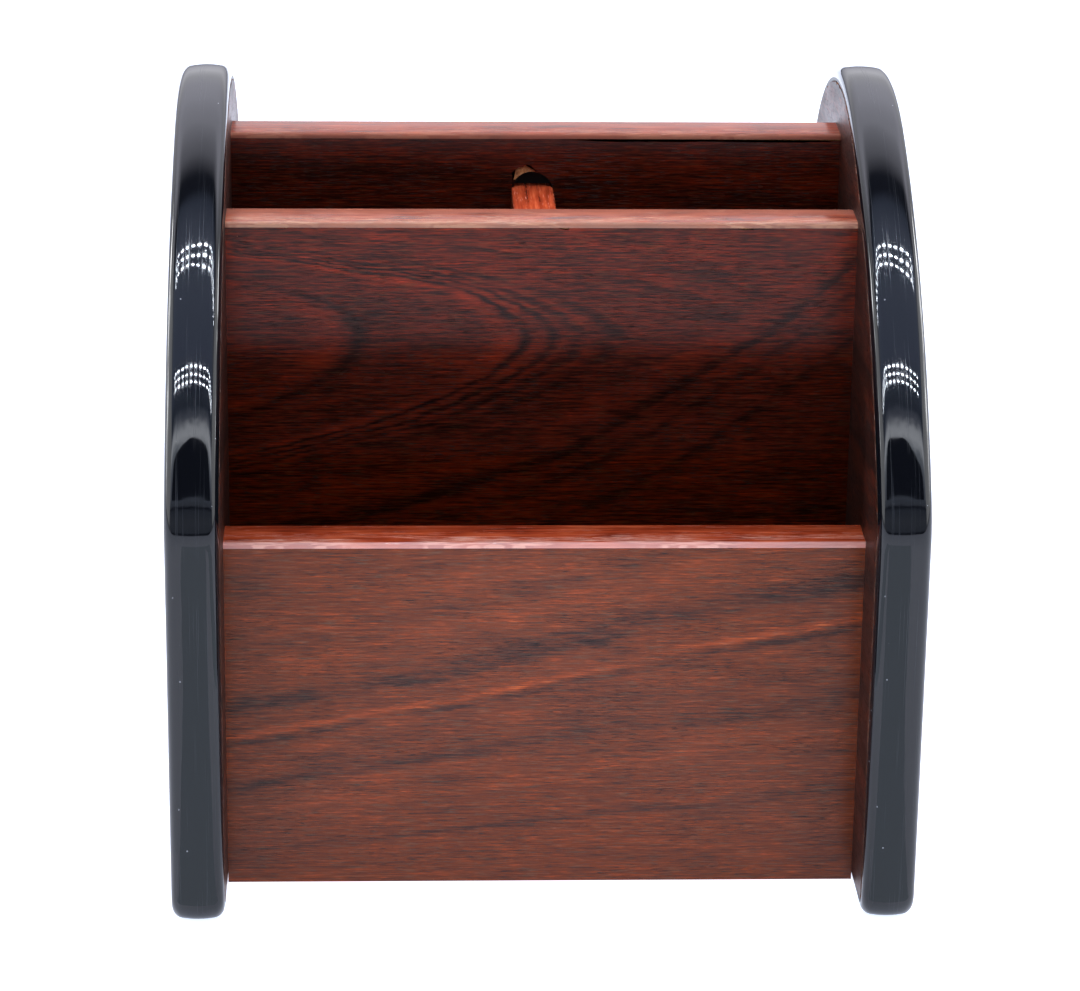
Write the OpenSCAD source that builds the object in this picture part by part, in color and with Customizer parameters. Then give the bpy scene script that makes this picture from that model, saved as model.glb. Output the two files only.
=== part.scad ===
// Desk organizer. Two rounded side panels with a gloss edge moulding carry three upright
// panels of rising height, a divider between the taller two, and a floor board. Every board
// is a fibreboard core with a laminate skin on both faces, and hidden dowels join the boards.
// The front faces -Y, and the origin is on the table under the middle of the object.

/* [Overall] */
// Width across both side panels
body_w = 150; // [130:1:190]
// Depth of a side panel, from front to rear
body_d = 151; // [148:1:156]
// Height of a side panel
body_h = 153.8; // [152:0.2:160]

/* [Side panels] */
// Thickness of a side panel with its laminates
side_t = 10.8; // [10:0.2:11.6]
// Radius of the rounded top, down to the rear edge
dome_r = 59.4; // [56:0.2:62]
// Where the long front curve meets the rounded top, in degrees ahead of upright
dome_lean = 23.7; // [20:0.1:27]
// Bend between the upright front edge and the long front curve, in degrees
knee_turn = 30; // [25:0.5:32]
// Radius of that bend
knee_r = 20; // [14:1:26]
// Radius of the two bottom corners
foot_r = 6; // [5:0.5:8]

/* [Edge moulding] */
// How far the moulding stands out from the edge of the board
moulding_h = 3.4; // [3.4:0.1:4]
// Radius of its two shoulders
shoulder_r = 2.5; // [1.8:0.1:2.6]
// Radius of its rounded middle
crown_r = 20; // [14:1:22]
// How much of its middle is pressed flat under the panel
foot_press = 0.25; // [0.2:0.05:0.25]
// Thickness of the tongue that holds it in the board
tongue_t = 2.4; // [2:0.1:3]
// Depth of that tongue
tongue_d = 6; // [4:0.5:7]
// Gap where its two ends meet under the side panel
seam_gap = 0.3; // [0.2:0.1:0.6]

/* [Boards] */
// Thickness of the upright panels and the floor with their laminates
panel_t = 10.6; // [9:0.2:12]
// Thickness of a laminate skin
laminate_t = 0.4; // [0.3:0.1:0.6]
// Thickness of the band along a top edge
band_t = 1.2; // [1:0.1:2]
// Radius of the band's two long edges
band_round = 0.8; // [0.5:0.1:0.9]
// Gap between the boards and the table
base_gap = 1; // [0.5:0.1:3]

/* [Upright panels] */
// Distance from the front edge of the sides to the front panel
front_y = 19.2; // [16:0.2:22]
// Height of the front panel's top
front_h = 75.4; // [60:0.2:80]
// Distance from the front edge of the sides to the middle panel
middle_y = 52.5; // [50:0.1:55]
// Height of the middle panel's top
middle_h = 132.2; // [130:0.2:134]
// Distance from the front edge of the sides to the rear panel
rear_y = 88; // [85:0.2:92]
// Height of the rear panel's top
rear_h = 141.4; // [138:0.2:143]

/* [Divider] */
// Thickness of the divider with its laminates
divider_t = 9; // [8:0.2:10]
// Height of the divider's top
divider_h = 129.8; // [120:0.1:130]
// Offset of the divider from the middle of the object
divider_x = -0.8; // [-5:0.1:5]
// Depth of the grooves that hold the divider's ends
groove_d = 3; // [2:0.5:4]

/* [Dowels] */
// Diameter of a dowel
dowel_d = 5; // [4:0.5:6]
// Length of a dowel inside a side panel
dowel_in_side = 6; // [5:0.5:8]
// Length of a dowel inside an upright panel or the floor
dowel_in_panel = 16; // [12:1:20]

/* [Hidden] */
$fn = 96;

LEFT = -1;
RIGHT = 1;
BOARD = "tan";
LAMINATE = [0.36, 0.17, 0.13];
BAND = [0.62, 0.26, 0.14];
MOULDING = [0.06, 0.06, 0.07];
cut = 1;

inner_w = body_w - 2 * side_t;
side_core_t = side_t - 2 * laminate_t;
panel_core_t = panel_t - 2 * laminate_t;
divider_core_t = divider_t - 2 * laminate_t;
floor_top = base_gap + panel_t;
floor_y = front_y + panel_t;
floor_d = rear_y - floor_y;
pocket_y = middle_y + panel_t;
pocket_d = rear_y - pocket_y;

// Side outline, as [depth from the front edge, height] in the plane of the panel.
dome_c = [body_d - dome_r, body_h - dome_r];
arc_r = (dome_c[0] - dome_r * sin(dome_lean) - knee_r * (1 - cos(knee_turn)))
    / (cos(knee_turn) - sin(dome_lean));
arc_c = dome_c + (arc_r - dome_r) * [sin(dome_lean), -cos(dome_lean)];
knee_c = [knee_r, arc_c[1] + (arc_r - knee_r) * sin(knee_turn)];
foot_z = foot_r - foot_press;
front_foot_c = [foot_r, foot_z];
rear_foot_c = [body_d - foot_r, foot_z];
knee_end = 180 - knee_turn;
dome_start = 90 + dome_lean;
foot_tongue = 1.2;
tongue_start = foot_z + 8;

// A station is [point on the crown of the moulding, outward direction, depth of the tongue].
function facing(angle) = [cos(angle), sin(angle)];
function stations(centre, r, from, to, steps, tongue) = [
    for (i = [0:steps])
        let (u = facing(from + (to - from) * i / steps)) [centre + r * u, u, tongue]
];
// The stations run clockwise, from the seam under the panel round to the seam again.
rim = concat(
    [[[(body_d - seam_gap) / 2, -foot_press], facing(270), foot_tongue]],
    stations(front_foot_c, foot_r, 270, 180, 6, foot_tongue),
    [[[0, tongue_start], facing(180), tongue_d]],
    stations(knee_c, knee_r, 180, knee_end, 5, tongue_d),
    stations(arc_c, arc_r, knee_end - 2, dome_start + 2, 18, tongue_d),
    stations(dome_c, dome_r, dome_start, 90, 6, tongue_d),
    stations(dome_c, dome_r, 86, 0, 22, tongue_d),
    [[[body_d, tongue_start], facing(0), tongue_d]],
    stations(rear_foot_c, foot_r, 0, -90, 6, foot_tongue),
    [[[(body_d + seam_gap) / 2, -foot_press], facing(270), foot_tongue]]
);

// Section of the moulding, as [distance across the panel, distance in from the crown].
// Its middle runs tangent into the two shoulders, at crown_tilt to either side.
crown_tilt = asin((side_t / 2 - shoulder_r) / (crown_r - shoulder_r));
shoulder_c = [shoulder_r, crown_r - (crown_r - shoulder_r) * cos(crown_tilt)];
left_shoulder = [
    for (i = [0:4]) shoulder_c - shoulder_r * facing(i * (90 - crown_tilt) / 4)
];
crown_line = [
    for (i = [-2:2])
        let (t = i * crown_tilt / 3) [side_t / 2 + crown_r * sin(t), crown_r * (1 - cos(t))]
];
right_shoulder = [for (i = [4:-1:0]) [side_t - left_shoulder[i][0], left_shoulder[i][1]]];
outer_section = concat([[0, moulding_h]], left_shoulder, crown_line, right_shoulder,
    [[side_t, moulding_h]]);
outer_count = len(outer_section);
section_count = outer_count + 4;
tongue_left = (side_t - tongue_t) / 2;
tongue_right = (side_t + tongue_t) / 2;

// The divider's grooves stop in a round end. The rear one stops above the divider, and the
// middle panel's stops below its band.
rear_groove_top = divider_h + 3.2;
middle_groove_top = min(rear_groove_top, middle_h - band_t - 0.6);
divider_tip_w = divider_t - 1.2;

// Dowels, as [depth from the front edge, height] of their axes.
function upright_dowels(y, foot, top, shares) =
    [for (s = shares) [y + panel_t / 2, foot + s * (top - foot)]];
front_dowels = upright_dowels(front_y, base_gap, front_h, [0.28, 0.75]);
middle_dowels = upright_dowels(middle_y, floor_top, middle_h, [0.15, 0.5, 0.85]);
rear_dowels = upright_dowels(rear_y, base_gap, rear_h, [0.15, 0.5, 0.85]);
floor_dowels = [for (s = [0.2, 0.8]) [floor_y + s * floor_d, base_gap + panel_t / 2]];
all_dowels = concat(front_dowels, middle_dowels, rear_dowels, floor_dowels);

// Draws in the plane of a side panel: x is depth, y is height, and z is world X from x on.
module in_side_plane(x) {
    translate([x, -body_d / 2, 0]) rotate([90, 0, 90]) children();
}

// Outline of a side board, which lies inside its moulding.
module board_outline() {
    polygon([for (s = rim) s[0] - moulding_h * s[1]]);
}

// The groove in the edge of a side board, as deep as the moulding's tongue at each place.
module tongue_groove() {
    translate([0, 0, tongue_left]) linear_extrude(tongue_t) difference() {
        polygon([for (s = rim) s[0] - (moulding_h - cut) * s[1]]);
        polygon([for (s = rim) s[0] - (moulding_h + s[2]) * s[1]]);
    }
}

// One strip swept round the rim. It is pressed flat where it stands on the table.
module moulding_strip() {
    points = [
        for (s = rim)
            for (q = concat(outer_section, [
                [tongue_right, moulding_h], [tongue_right, moulding_h + s[2]],
                [tongue_left, moulding_h + s[2]], [tongue_left, moulding_h]
            ]))
                let (p = s[0] - q[1] * s[1]) [p[0], max(p[1], 0), q[0]]
    ];
    last = (len(rim) - 1) * section_count;
    skin = [
        for (i = [0:len(rim) - 2])
            for (j = [0:section_count - 1])
                let (
                    a = i * section_count + j,
                    b = i * section_count + (j + 1) % section_count
                )
                    each [[a, b, b + section_count], [a, b + section_count, a + section_count]]
    ];
    body_cap = concat([for (j = [2:outer_count]) j], [section_count - 1, 0, 1]);
    tongue_cap = [for (j = [outer_count:section_count - 1]) j];
    start_caps = [for (face = [body_cap, tongue_cap]) [for (j = [len(face) - 1:-1:0]) face[j]]];
    end_caps = [for (face = [body_cap, tongue_cap]) [for (j = face) last + j]];
    polyhedron(points, concat(skin, start_caps, end_caps));
}

// Dowels drawn in the side plane, between two depths of the panel's thickness.
module dowels(points, low, high) {
    for (p = points) translate([p[0], p[1], low]) cylinder(d = dowel_d, h = high - low);
}

// Left edge of a side panel's thickness, in world X.
function side_x(side) = side == LEFT ? -body_w / 2 : body_w / 2 - side_t;
// Depth at which a layer starts, measured from the left face of the panel.
function inner_skin_z(side) = side == LEFT ? side_t - laminate_t : 0;
function outer_skin_z(side) = side == LEFT ? 0 : side_t - laminate_t;

module side_core(side) {
    reach = dowel_in_side - laminate_t;
    near = side == LEFT ? side_t - laminate_t - reach : laminate_t - cut;
    color(BOARD) in_side_plane(side_x(side)) difference() {
        translate([0, 0, laminate_t]) linear_extrude(side_core_t) board_outline();
        tongue_groove();
        dowels(all_dowels, near, near + reach + cut);
    }
}

module side_inner_laminate(side) {
    z = inner_skin_z(side);
    color(LAMINATE) in_side_plane(side_x(side)) difference() {
        translate([0, 0, z]) linear_extrude(laminate_t) board_outline();
        dowels(all_dowels, z - cut, z + laminate_t + cut);
    }
}

module side_outer_laminate(side) {
    color(LAMINATE) in_side_plane(side_x(side)) translate([0, 0, outer_skin_z(side)])
        linear_extrude(laminate_t) board_outline();
}

module edge_moulding(side) {
    color(MOULDING) in_side_plane(side_x(side)) moulding_strip();
}

// A board across the inside width: y and z are its front face and its foot.
module cross_board(y, z, depth, height) {
    translate([-inner_w / 2, y - body_d / 2, z]) cube([inner_w, depth, height]);
}

// Holes for dowels in both ends of the cross boards.
module end_holes(points) {
    for (side = [LEFT, RIGHT]) {
        x = side == LEFT ? -inner_w / 2 - cut : inner_w / 2 - dowel_in_panel;
        in_side_plane(x) dowels(points, 0, dowel_in_panel + cut);
    }
}

// The groove for one end of the divider, from a depth on, with a round upper end.
module divider_groove(y, depth, top) {
    round_z = top - divider_t / 2;
    translate([divider_x, y - body_d / 2, 0]) {
        translate([-divider_t / 2, 0, floor_top - cut])
            cube([divider_t, depth, round_z - floor_top + cut]);
        translate([0, 0, round_z]) rotate([-90, 0, 0]) cylinder(d = divider_t, h = depth);
    }
}

// Where the laminate has broken away beside the end of the rear panel's groove.
module laminate_chip() {
    translate([divider_x, rear_y - body_d / 2 - cut, rear_groove_top]) rotate([90, 0, 0])
        mirror([0, 0, 1]) linear_extrude(laminate_t + cut) polygon([
            [-4.2, -1.6], [-4.3, -0.1], [-3.5, 0.6], [-2.5, 1.1], [-1.4, 1.6], [-0.3, 1.4],
            [0.5, 0.6], [0, -1.5]
        ]);
}

// Band on a top edge, with its two long edges rounded: thickness and length run along Y and X.
module top_band(thickness, length) {
    translate([-length / 2, 0, 0]) rotate([90, 0, 90]) linear_extrude(length) intersection() {
        square([thickness, band_t]);
        union() {
            square([thickness, band_t - band_round]);
            translate([band_round, 0]) square([thickness - 2 * band_round, band_t]);
            for (x = [band_round, thickness - band_round])
                translate([x, band_t - band_round]) circle(band_round);
        }
    }
}

module upright_core(y, foot, top, points) {
    color(BOARD) difference() {
        cross_board(y + laminate_t, foot, panel_core_t, top - band_t - foot);
        end_holes(points);
        children();
    }
}

module upright_skin(y, foot, top) {
    color(LAMINATE) difference() {
        cross_board(y, foot, laminate_t, top - band_t - foot);
        children();
    }
}

module upright_band(y, top) {
    color(BAND) translate([0, y - body_d / 2, top - band_t]) top_band(panel_t, inner_w);
}

module front_panel_core() {
    upright_core(front_y, base_gap, front_h, front_dowels);
}

module front_panel_front_laminate() {
    upright_skin(front_y, base_gap, front_h);
}

module front_panel_back_laminate() {
    upright_skin(front_y + panel_t - laminate_t, base_gap, front_h);
}

module front_panel_edge_band() {
    upright_band(front_y, front_h);
}

module middle_panel_core() {
    upright_core(middle_y, floor_top, middle_h, middle_dowels)
        divider_groove(pocket_y - groove_d, groove_d, middle_groove_top);
}

module middle_panel_front_laminate() {
    upright_skin(middle_y, floor_top, middle_h);
}

module middle_panel_back_laminate() {
    upright_skin(pocket_y - laminate_t, floor_top, middle_h)
        divider_groove(pocket_y - laminate_t - cut, laminate_t + 2 * cut, middle_groove_top);
}

module middle_panel_edge_band() {
    upright_band(middle_y, middle_h);
}

module rear_panel_core() {
    upright_core(rear_y, base_gap, rear_h, rear_dowels)
        divider_groove(rear_y, groove_d, rear_groove_top);
}

module rear_panel_front_laminate() {
    upright_skin(rear_y, base_gap, rear_h) {
        divider_groove(rear_y - cut, laminate_t + 2 * cut, rear_groove_top);
        laminate_chip();
    }
}

module rear_panel_back_laminate() {
    upright_skin(rear_y + panel_t - laminate_t, base_gap, rear_h);
}

module rear_panel_edge_band() {
    upright_band(rear_y, rear_h);
}

// The divider's core runs into both grooves. Its front end is cut back to clear the round end.
module divider_core() {
    top = divider_h - band_t;
    front_top = min(top, middle_groove_top - divider_t / 2 + 1);
    color(BOARD) translate([divider_x - divider_core_t / 2, pocket_y - body_d / 2, floor_top]) {
        cube([divider_core_t, pocket_d + groove_d, top - floor_top]);
        translate([0, -groove_d, 0]) cube([divider_core_t, 2 * groove_d, front_top - floor_top]);
    }
}

module divider_skin(x) {
    color(LAMINATE) translate([divider_x + x, pocket_y - body_d / 2, floor_top])
        cube([laminate_t, pocket_d, divider_h - band_t - floor_top]);
}

module divider_left_laminate() {
    divider_skin(-divider_t / 2);
}

module divider_right_laminate() {
    divider_skin(divider_t / 2 - laminate_t);
}

// The band covers the divider's top and runs on, narrower, into the rear groove.
module divider_edge_band() {
    color(BAND) translate([divider_x, pocket_y - body_d / 2, divider_h - band_t]) {
        translate([divider_t / 2, pocket_d / 2, 0]) rotate([0, 0, 90])
            top_band(divider_t, pocket_d);
        translate([-divider_tip_w / 2, pocket_d - cut, 0])
            cube([divider_tip_w, groove_d + cut, band_t]);
    }
}

module floor_core() {
    color(BOARD) difference() {
        cross_board(floor_y, base_gap + laminate_t, floor_d, panel_core_t);
        end_holes(floor_dowels);
    }
}

module floor_top_laminate() {
    color(LAMINATE) cross_board(floor_y, floor_top - laminate_t, floor_d, laminate_t);
}

module floor_bottom_laminate() {
    color(LAMINATE) cross_board(floor_y, base_gap, floor_d, laminate_t);
}

module joint_dowels() {
    length = dowel_in_side + dowel_in_panel;
    color("burlywood") for (side = [LEFT, RIGHT]) {
        x = side == LEFT ? -inner_w / 2 - dowel_in_side : inner_w / 2 - dowel_in_panel;
        in_side_plane(x) dowels(all_dowels, 0, length);
    }
}

side_core(LEFT);  // left_side_core
side_inner_laminate(LEFT);  // left_side_inner_laminate
side_outer_laminate(LEFT);  // left_side_outer_laminate
edge_moulding(LEFT);  // left_edge_moulding
side_core(RIGHT);  // right_side_core
side_inner_laminate(RIGHT);  // right_side_inner_laminate
side_outer_laminate(RIGHT);  // right_side_outer_laminate
edge_moulding(RIGHT);  // right_edge_moulding
front_panel_core();
front_panel_front_laminate();
front_panel_back_laminate();
front_panel_edge_band();
middle_panel_core();
middle_panel_front_laminate();
middle_panel_back_laminate();
middle_panel_edge_band();
rear_panel_core();
rear_panel_front_laminate();
rear_panel_back_laminate();
rear_panel_edge_band();
divider_core();
divider_left_laminate();
divider_right_laminate();
divider_edge_band();
floor_core();
floor_top_laminate();
floor_bottom_laminate();
joint_dowels();
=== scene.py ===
"""The looks of the desk organizer: laminated boards, plastic edge bands, gloss black mouldings.

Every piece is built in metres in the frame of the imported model. Lengths of the object are given
in millimetres, and MM turns them into metres. The studio round it is given in metres.
"""

import math
import random

import bmesh
import bpy
from mathutils import Matrix, Vector, noise


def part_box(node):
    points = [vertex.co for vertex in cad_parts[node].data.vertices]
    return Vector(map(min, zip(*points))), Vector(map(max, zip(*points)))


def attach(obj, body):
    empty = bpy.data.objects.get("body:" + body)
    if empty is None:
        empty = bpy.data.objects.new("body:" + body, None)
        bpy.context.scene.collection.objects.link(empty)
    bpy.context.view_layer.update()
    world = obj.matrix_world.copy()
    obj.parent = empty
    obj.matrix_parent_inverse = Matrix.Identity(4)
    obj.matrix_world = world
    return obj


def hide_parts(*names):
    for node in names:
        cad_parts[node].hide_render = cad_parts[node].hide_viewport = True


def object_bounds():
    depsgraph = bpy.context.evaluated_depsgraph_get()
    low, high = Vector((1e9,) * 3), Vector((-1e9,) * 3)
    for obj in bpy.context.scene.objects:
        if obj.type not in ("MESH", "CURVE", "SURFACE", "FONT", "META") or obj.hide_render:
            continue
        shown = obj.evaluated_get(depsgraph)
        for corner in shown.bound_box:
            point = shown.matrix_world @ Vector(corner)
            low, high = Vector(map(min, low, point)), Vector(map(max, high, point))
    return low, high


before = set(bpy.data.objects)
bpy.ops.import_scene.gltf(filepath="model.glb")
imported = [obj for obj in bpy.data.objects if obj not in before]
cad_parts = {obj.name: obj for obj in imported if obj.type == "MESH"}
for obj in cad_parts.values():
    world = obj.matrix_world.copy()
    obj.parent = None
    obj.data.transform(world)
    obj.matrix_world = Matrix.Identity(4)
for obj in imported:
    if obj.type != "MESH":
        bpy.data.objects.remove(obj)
CAD_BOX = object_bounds()

MM = 0.001

# Outline of a side panel at the crown of its edge moulding, with the same values as in the CAD
# model. Angles are in degrees.
DOME_R = 59.4
DOME_LEAN = 23.7
KNEE_TURN = 30
KNEE_R = 20
FOOT_R = 6
FOOT_PRESS = 0.25
SEAM_GAP = 0.3

# Section of the moulding, with the tongue that holds it in the board. The tongue is shallow near
# the feet, up to TONGUE_START.
CROWN_R = 20
SHOULDER_R = 2.5
MOULDING_H = 3.4
TONGUE_T = 2.4
TONGUE_D = 6
FOOT_TONGUE = 1.2
TONGUE_START = FOOT_R + 8

# How much narrower the moulding is than the side panel, and the gap between the panel's laminate
# and the moulding.
RIM_SHOWN = 0.1
SKIN_GAP = 0.06

# Radius of a top band's two long edges, and how far the divider's groove runs on above its band.
BAND_ROUND = 0.8
GROOVE_ABOVE_BAND = 3.2


def box_mm(node):
    """Lowest and highest corner of a CAD node, in millimetres."""
    low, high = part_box(node)
    return low / MM, high / MM


LOW, HIGH = CAD_BOX[0] / MM, CAD_BOX[1] / MM
BODY_D = HIGH.y - LOW.y
BODY_H = HIGH.z
SIDE_T = box_mm("left_edge_moulding")[1].x - LOW.x
SIDES = ("left", "right")


# ---------------------------------------------------------------- shader helpers


def srgb(red, green, blue):
    """Colour of 0 to 255 sRGB values, as linear RGBA."""
    def linear(value):
        value /= 255
        return value / 12.92 if value <= 0.04045 else ((value + 0.055) / 1.055) ** 2.4

    return (linear(red), linear(green), linear(blue), 1)


def add(tree, kind, inputs=None, **settings):
    """A new node with its settings made and its inputs set or linked."""
    node = tree.nodes.new(kind)
    for key, value in settings.items():
        setattr(node, key, value)
    for key, value in (inputs or {}).items():
        if isinstance(value, bpy.types.NodeSocket):
            tree.links.new(value, node.inputs[key])
        else:
            node.inputs[key].default_value = value
    return node


def calc(tree, operation, *values):
    """Result of a Math node."""
    inputs = dict(enumerate(values))
    return add(tree, "ShaderNodeMath", inputs, operation=operation).outputs[0]


def smooth_step(tree, value, start, end, low=0.0, high=1.0):
    """Goes smoothly from low to high as value goes from start to end."""
    inputs = {"Value": value, "From Min": start, "From Max": end, "To Min": low, "To Max": high}
    node = add(tree, "ShaderNodeMapRange", inputs, interpolation_type="SMOOTHSTEP")
    return node.outputs["Result"]


def ramp(tree, factor, stops):
    """Colour ramp. Stops are (position, colour), and a plain number stands for a grey."""
    node = add(tree, "ShaderNodeValToRGB", {"Fac": factor})
    elements = node.color_ramp.elements
    while len(elements) < len(stops):
        elements.new(1.0)
    for element, (position, colour) in zip(elements, stops):
        element.position = position
        element.color = colour if isinstance(colour, tuple) else (colour, colour, colour, 1)
    return node.outputs["Color"]


def mix(tree, factor, first, second, blend="MIX"):
    node = add(tree, "ShaderNodeMix", data_type="RGBA", blend_type=blend)
    sockets = (node.inputs[0], node.inputs[6], node.inputs[7])
    for socket, value in zip(sockets, (factor, first, second)):
        if isinstance(value, bpy.types.NodeSocket):
            tree.links.new(value, socket)
        else:
            socket.default_value = value
    return node.outputs[2]


def multiply(tree, first, second):
    return mix(tree, 1.0, first, second, "MULTIPLY")


def spread(tree, value, amount, base):
    """Adds amount times value, which varies about 0.5, to base."""
    return calc(tree, "MULTIPLY_ADD", calc(tree, "SUBTRACT", value, 0.5), amount, base)


def combine(tree, x=0.0, y=0.0, z=0.0):
    return add(tree, "ShaderNodeCombineXYZ", {"X": x, "Y": y, "Z": z}).outputs[0]


def fine_noise(tree, vector, detail=2.0, rough=0.5):
    inputs = {"Vector": vector, "Scale": 1.0, "Detail": detail, "Roughness": rough}
    return add(tree, "ShaderNodeTexNoise", inputs).outputs["Fac"]


def stretched_noise(tree, along, across, seed, length, width, detail=2.0, rough=0.5):
    """Noise whose features are about length by width millimetres."""
    vector = combine(
        tree, calc(tree, "DIVIDE", along, length), calc(tree, "DIVIDE", across, width), seed
    )
    return fine_noise(tree, vector, detail, rough)


def specks(tree, vector, spacing, size, share):
    """Round specks of a size, one for a share of the cells that are spacing wide."""
    inputs = {"Vector": vector, "Scale": 1 / spacing}
    cells = add(tree, "ShaderNodeTexVoronoi", inputs, feature="F1")
    near = calc(tree, "LESS_THAN", cells.outputs["Distance"], size / spacing)
    pick = add(tree, "ShaderNodeSeparateColor", {"Color": cells.outputs["Color"]}).outputs[0]
    return calc(tree, "MULTIPLY", near, calc(tree, "LESS_THAN", pick, share))


def new_material(name):
    material = bpy.data.materials.new(name)
    material.use_nodes = True
    tree = material.node_tree
    return material, tree, tree.nodes["Principled BSDF"]


def bump(tree, shader, height, depth, strength=1.0):
    """Bump of a depth in millimetres."""
    inputs = {"Height": height, "Distance": depth * MM, "Strength": strength}
    node = add(tree, "ShaderNodeBump", inputs)
    tree.links.new(node.outputs["Normal"], shader.inputs["Normal"])


def position_mm(tree):
    """Object coordinates in millimetres, as three sockets."""
    coords = add(tree, "ShaderNodeTexCoord").outputs["Object"]
    scaled = add(tree, "ShaderNodeVectorMath", {0: coords, "Scale": 1 / MM}, operation="SCALE")
    parts = add(tree, "ShaderNodeSeparateXYZ", {0: scaled.outputs["Vector"]})
    return parts.outputs[0], parts.outputs[1], parts.outputs[2]


# ---------------------------------------------------------------- wood laminate
#
# Sizes in the materials are in millimetres.

# Print tones, from the dark growth lines to the bright ones.
PALETTE = (
    (0.0, srgb(10, 5, 5)),
    (0.3, srgb(44, 20, 16)),
    (0.42, srgb(70, 31, 20)),
    (0.55, srgb(102, 43, 18)),
    (0.66, srgb(118, 50, 18)),
    (0.82, srgb(152, 62, 22)),
    (1.0, srgb(188, 88, 36)),
)


def fan_figure(tree, along, across):
    """Growth lines that climb to the right in a fan: steeper the higher they are."""
    slope, fan, top = 0.055, 0.0033, 80.0
    rise = calc(tree, "MULTIPLY_ADD", along, -slope, across)
    level = calc(tree, "DIVIDE", rise, calc(tree, "MULTIPLY_ADD", along, fan, 1.0))
    return ramp(tree, calc(tree, "DIVIDE", level, top), (
        (0.0, 0.5), (0.165, 0.5), (0.185, 0.36), (0.2, 0.5), (0.29, 0.5), (0.31, 0.6),
        (0.34, 0.5), (0.38, 0.52), (0.4, 0.32), (0.425, 0.46), (0.51, 0.5), (0.535, 0.5),
        (0.543, 0.32), (0.556, 0.44), (0.568, 0.74), (0.585, 0.52), (0.625, 0.5), (0.65, 0.3),
        (0.68, 0.35), (0.70, 0.5), (0.79, 0.58), (0.83, 0.44), (0.88, 0.54), (1.0, 0.5),
    ))


def cathedral_figure(tree, along, across):
    """Growth lines in loops that open to the left, over a long dark line that sweeps up."""
    apex, bend_below, bend_above, loops_span = 108.5, 0.083, 0.19, 160
    sweep_start, sweep_low, sweep_bend, sweep_span = -66.0, 66.5, 0.0034, 60
    rise = calc(tree, "SUBTRACT", across, apex)
    above = calc(tree, "GREATER_THAN", rise, 0.0)
    bend = calc(tree, "MULTIPLY_ADD", above, bend_above - bend_below, bend_below)
    square = calc(tree, "MULTIPLY", calc(tree, "MULTIPLY", rise, rise), bend)
    place = calc(tree, "MULTIPLY_ADD", calc(tree, "ADD", along, square), 1 / loops_span, 0.5)
    loops = ramp(tree, place, (
        (0.0, 0.5), (0.2, 0.5), (0.236, 0.62), (0.252, 0.5), (0.268, 0.3), (0.285, 0.48),
        (0.43, 0.5), (0.455, 0.68), (0.47, 0.62), (0.481, 0.26), (0.493, 0.6), (0.505, 0.56),
        (0.516, 0.28), (0.528, 0.58), (0.548, 0.32), (0.563, 0.58), (0.592, 0.35), (0.61, 0.5),
        (0.74, 0.5), (0.78, 0.36), (0.8, 0.56), (0.9, 0.46), (1.0, 0.5),
    ))
    reach = calc(tree, "SUBTRACT", along, sweep_start)
    lift = calc(tree, "MULTIPLY", calc(tree, "MULTIPLY", reach, reach), -sweep_bend)
    gap = calc(tree, "SUBTRACT", calc(tree, "ADD", across, lift), sweep_low)
    sweep = ramp(tree, calc(tree, "MULTIPLY_ADD", gap, 1 / sweep_span, 0.5), (
        (0.0, 0.46), (0.2, 0.5), (0.24, 0.34), (0.26, 0.5), (0.36, 0.54), (0.4, 0.4), (0.42, 0.52),
        (0.475, 0.5), (0.492, 0.29), (0.51, 0.35), (0.53, 0.5), (0.6, 0.58), (0.66, 0.44), (0.7, 0.5),
        (1.0, 0.5),
    ))
    return mix(tree, smooth_step(tree, gap, 3.0, 14.0), sweep, loops)


def plain_figure(tree, along, across):
    """Broad quiet lines that wander across the board."""
    slope, repeat = 0.06, 62.0
    level = calc(tree, "MULTIPLY_ADD", along, slope, across)
    return ramp(tree, calc(tree, "FRACT", calc(tree, "DIVIDE", level, repeat)), (
        (0.0, 0.5), (0.12, 0.42), (0.16, 0.54), (0.3, 0.5), (0.4, 0.6), (0.43, 0.36),
        (0.5, 0.5), (0.62, 0.54), (0.7, 0.4), (0.74, 0.56), (0.9, 0.5), (1.0, 0.5),
    ))


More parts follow.
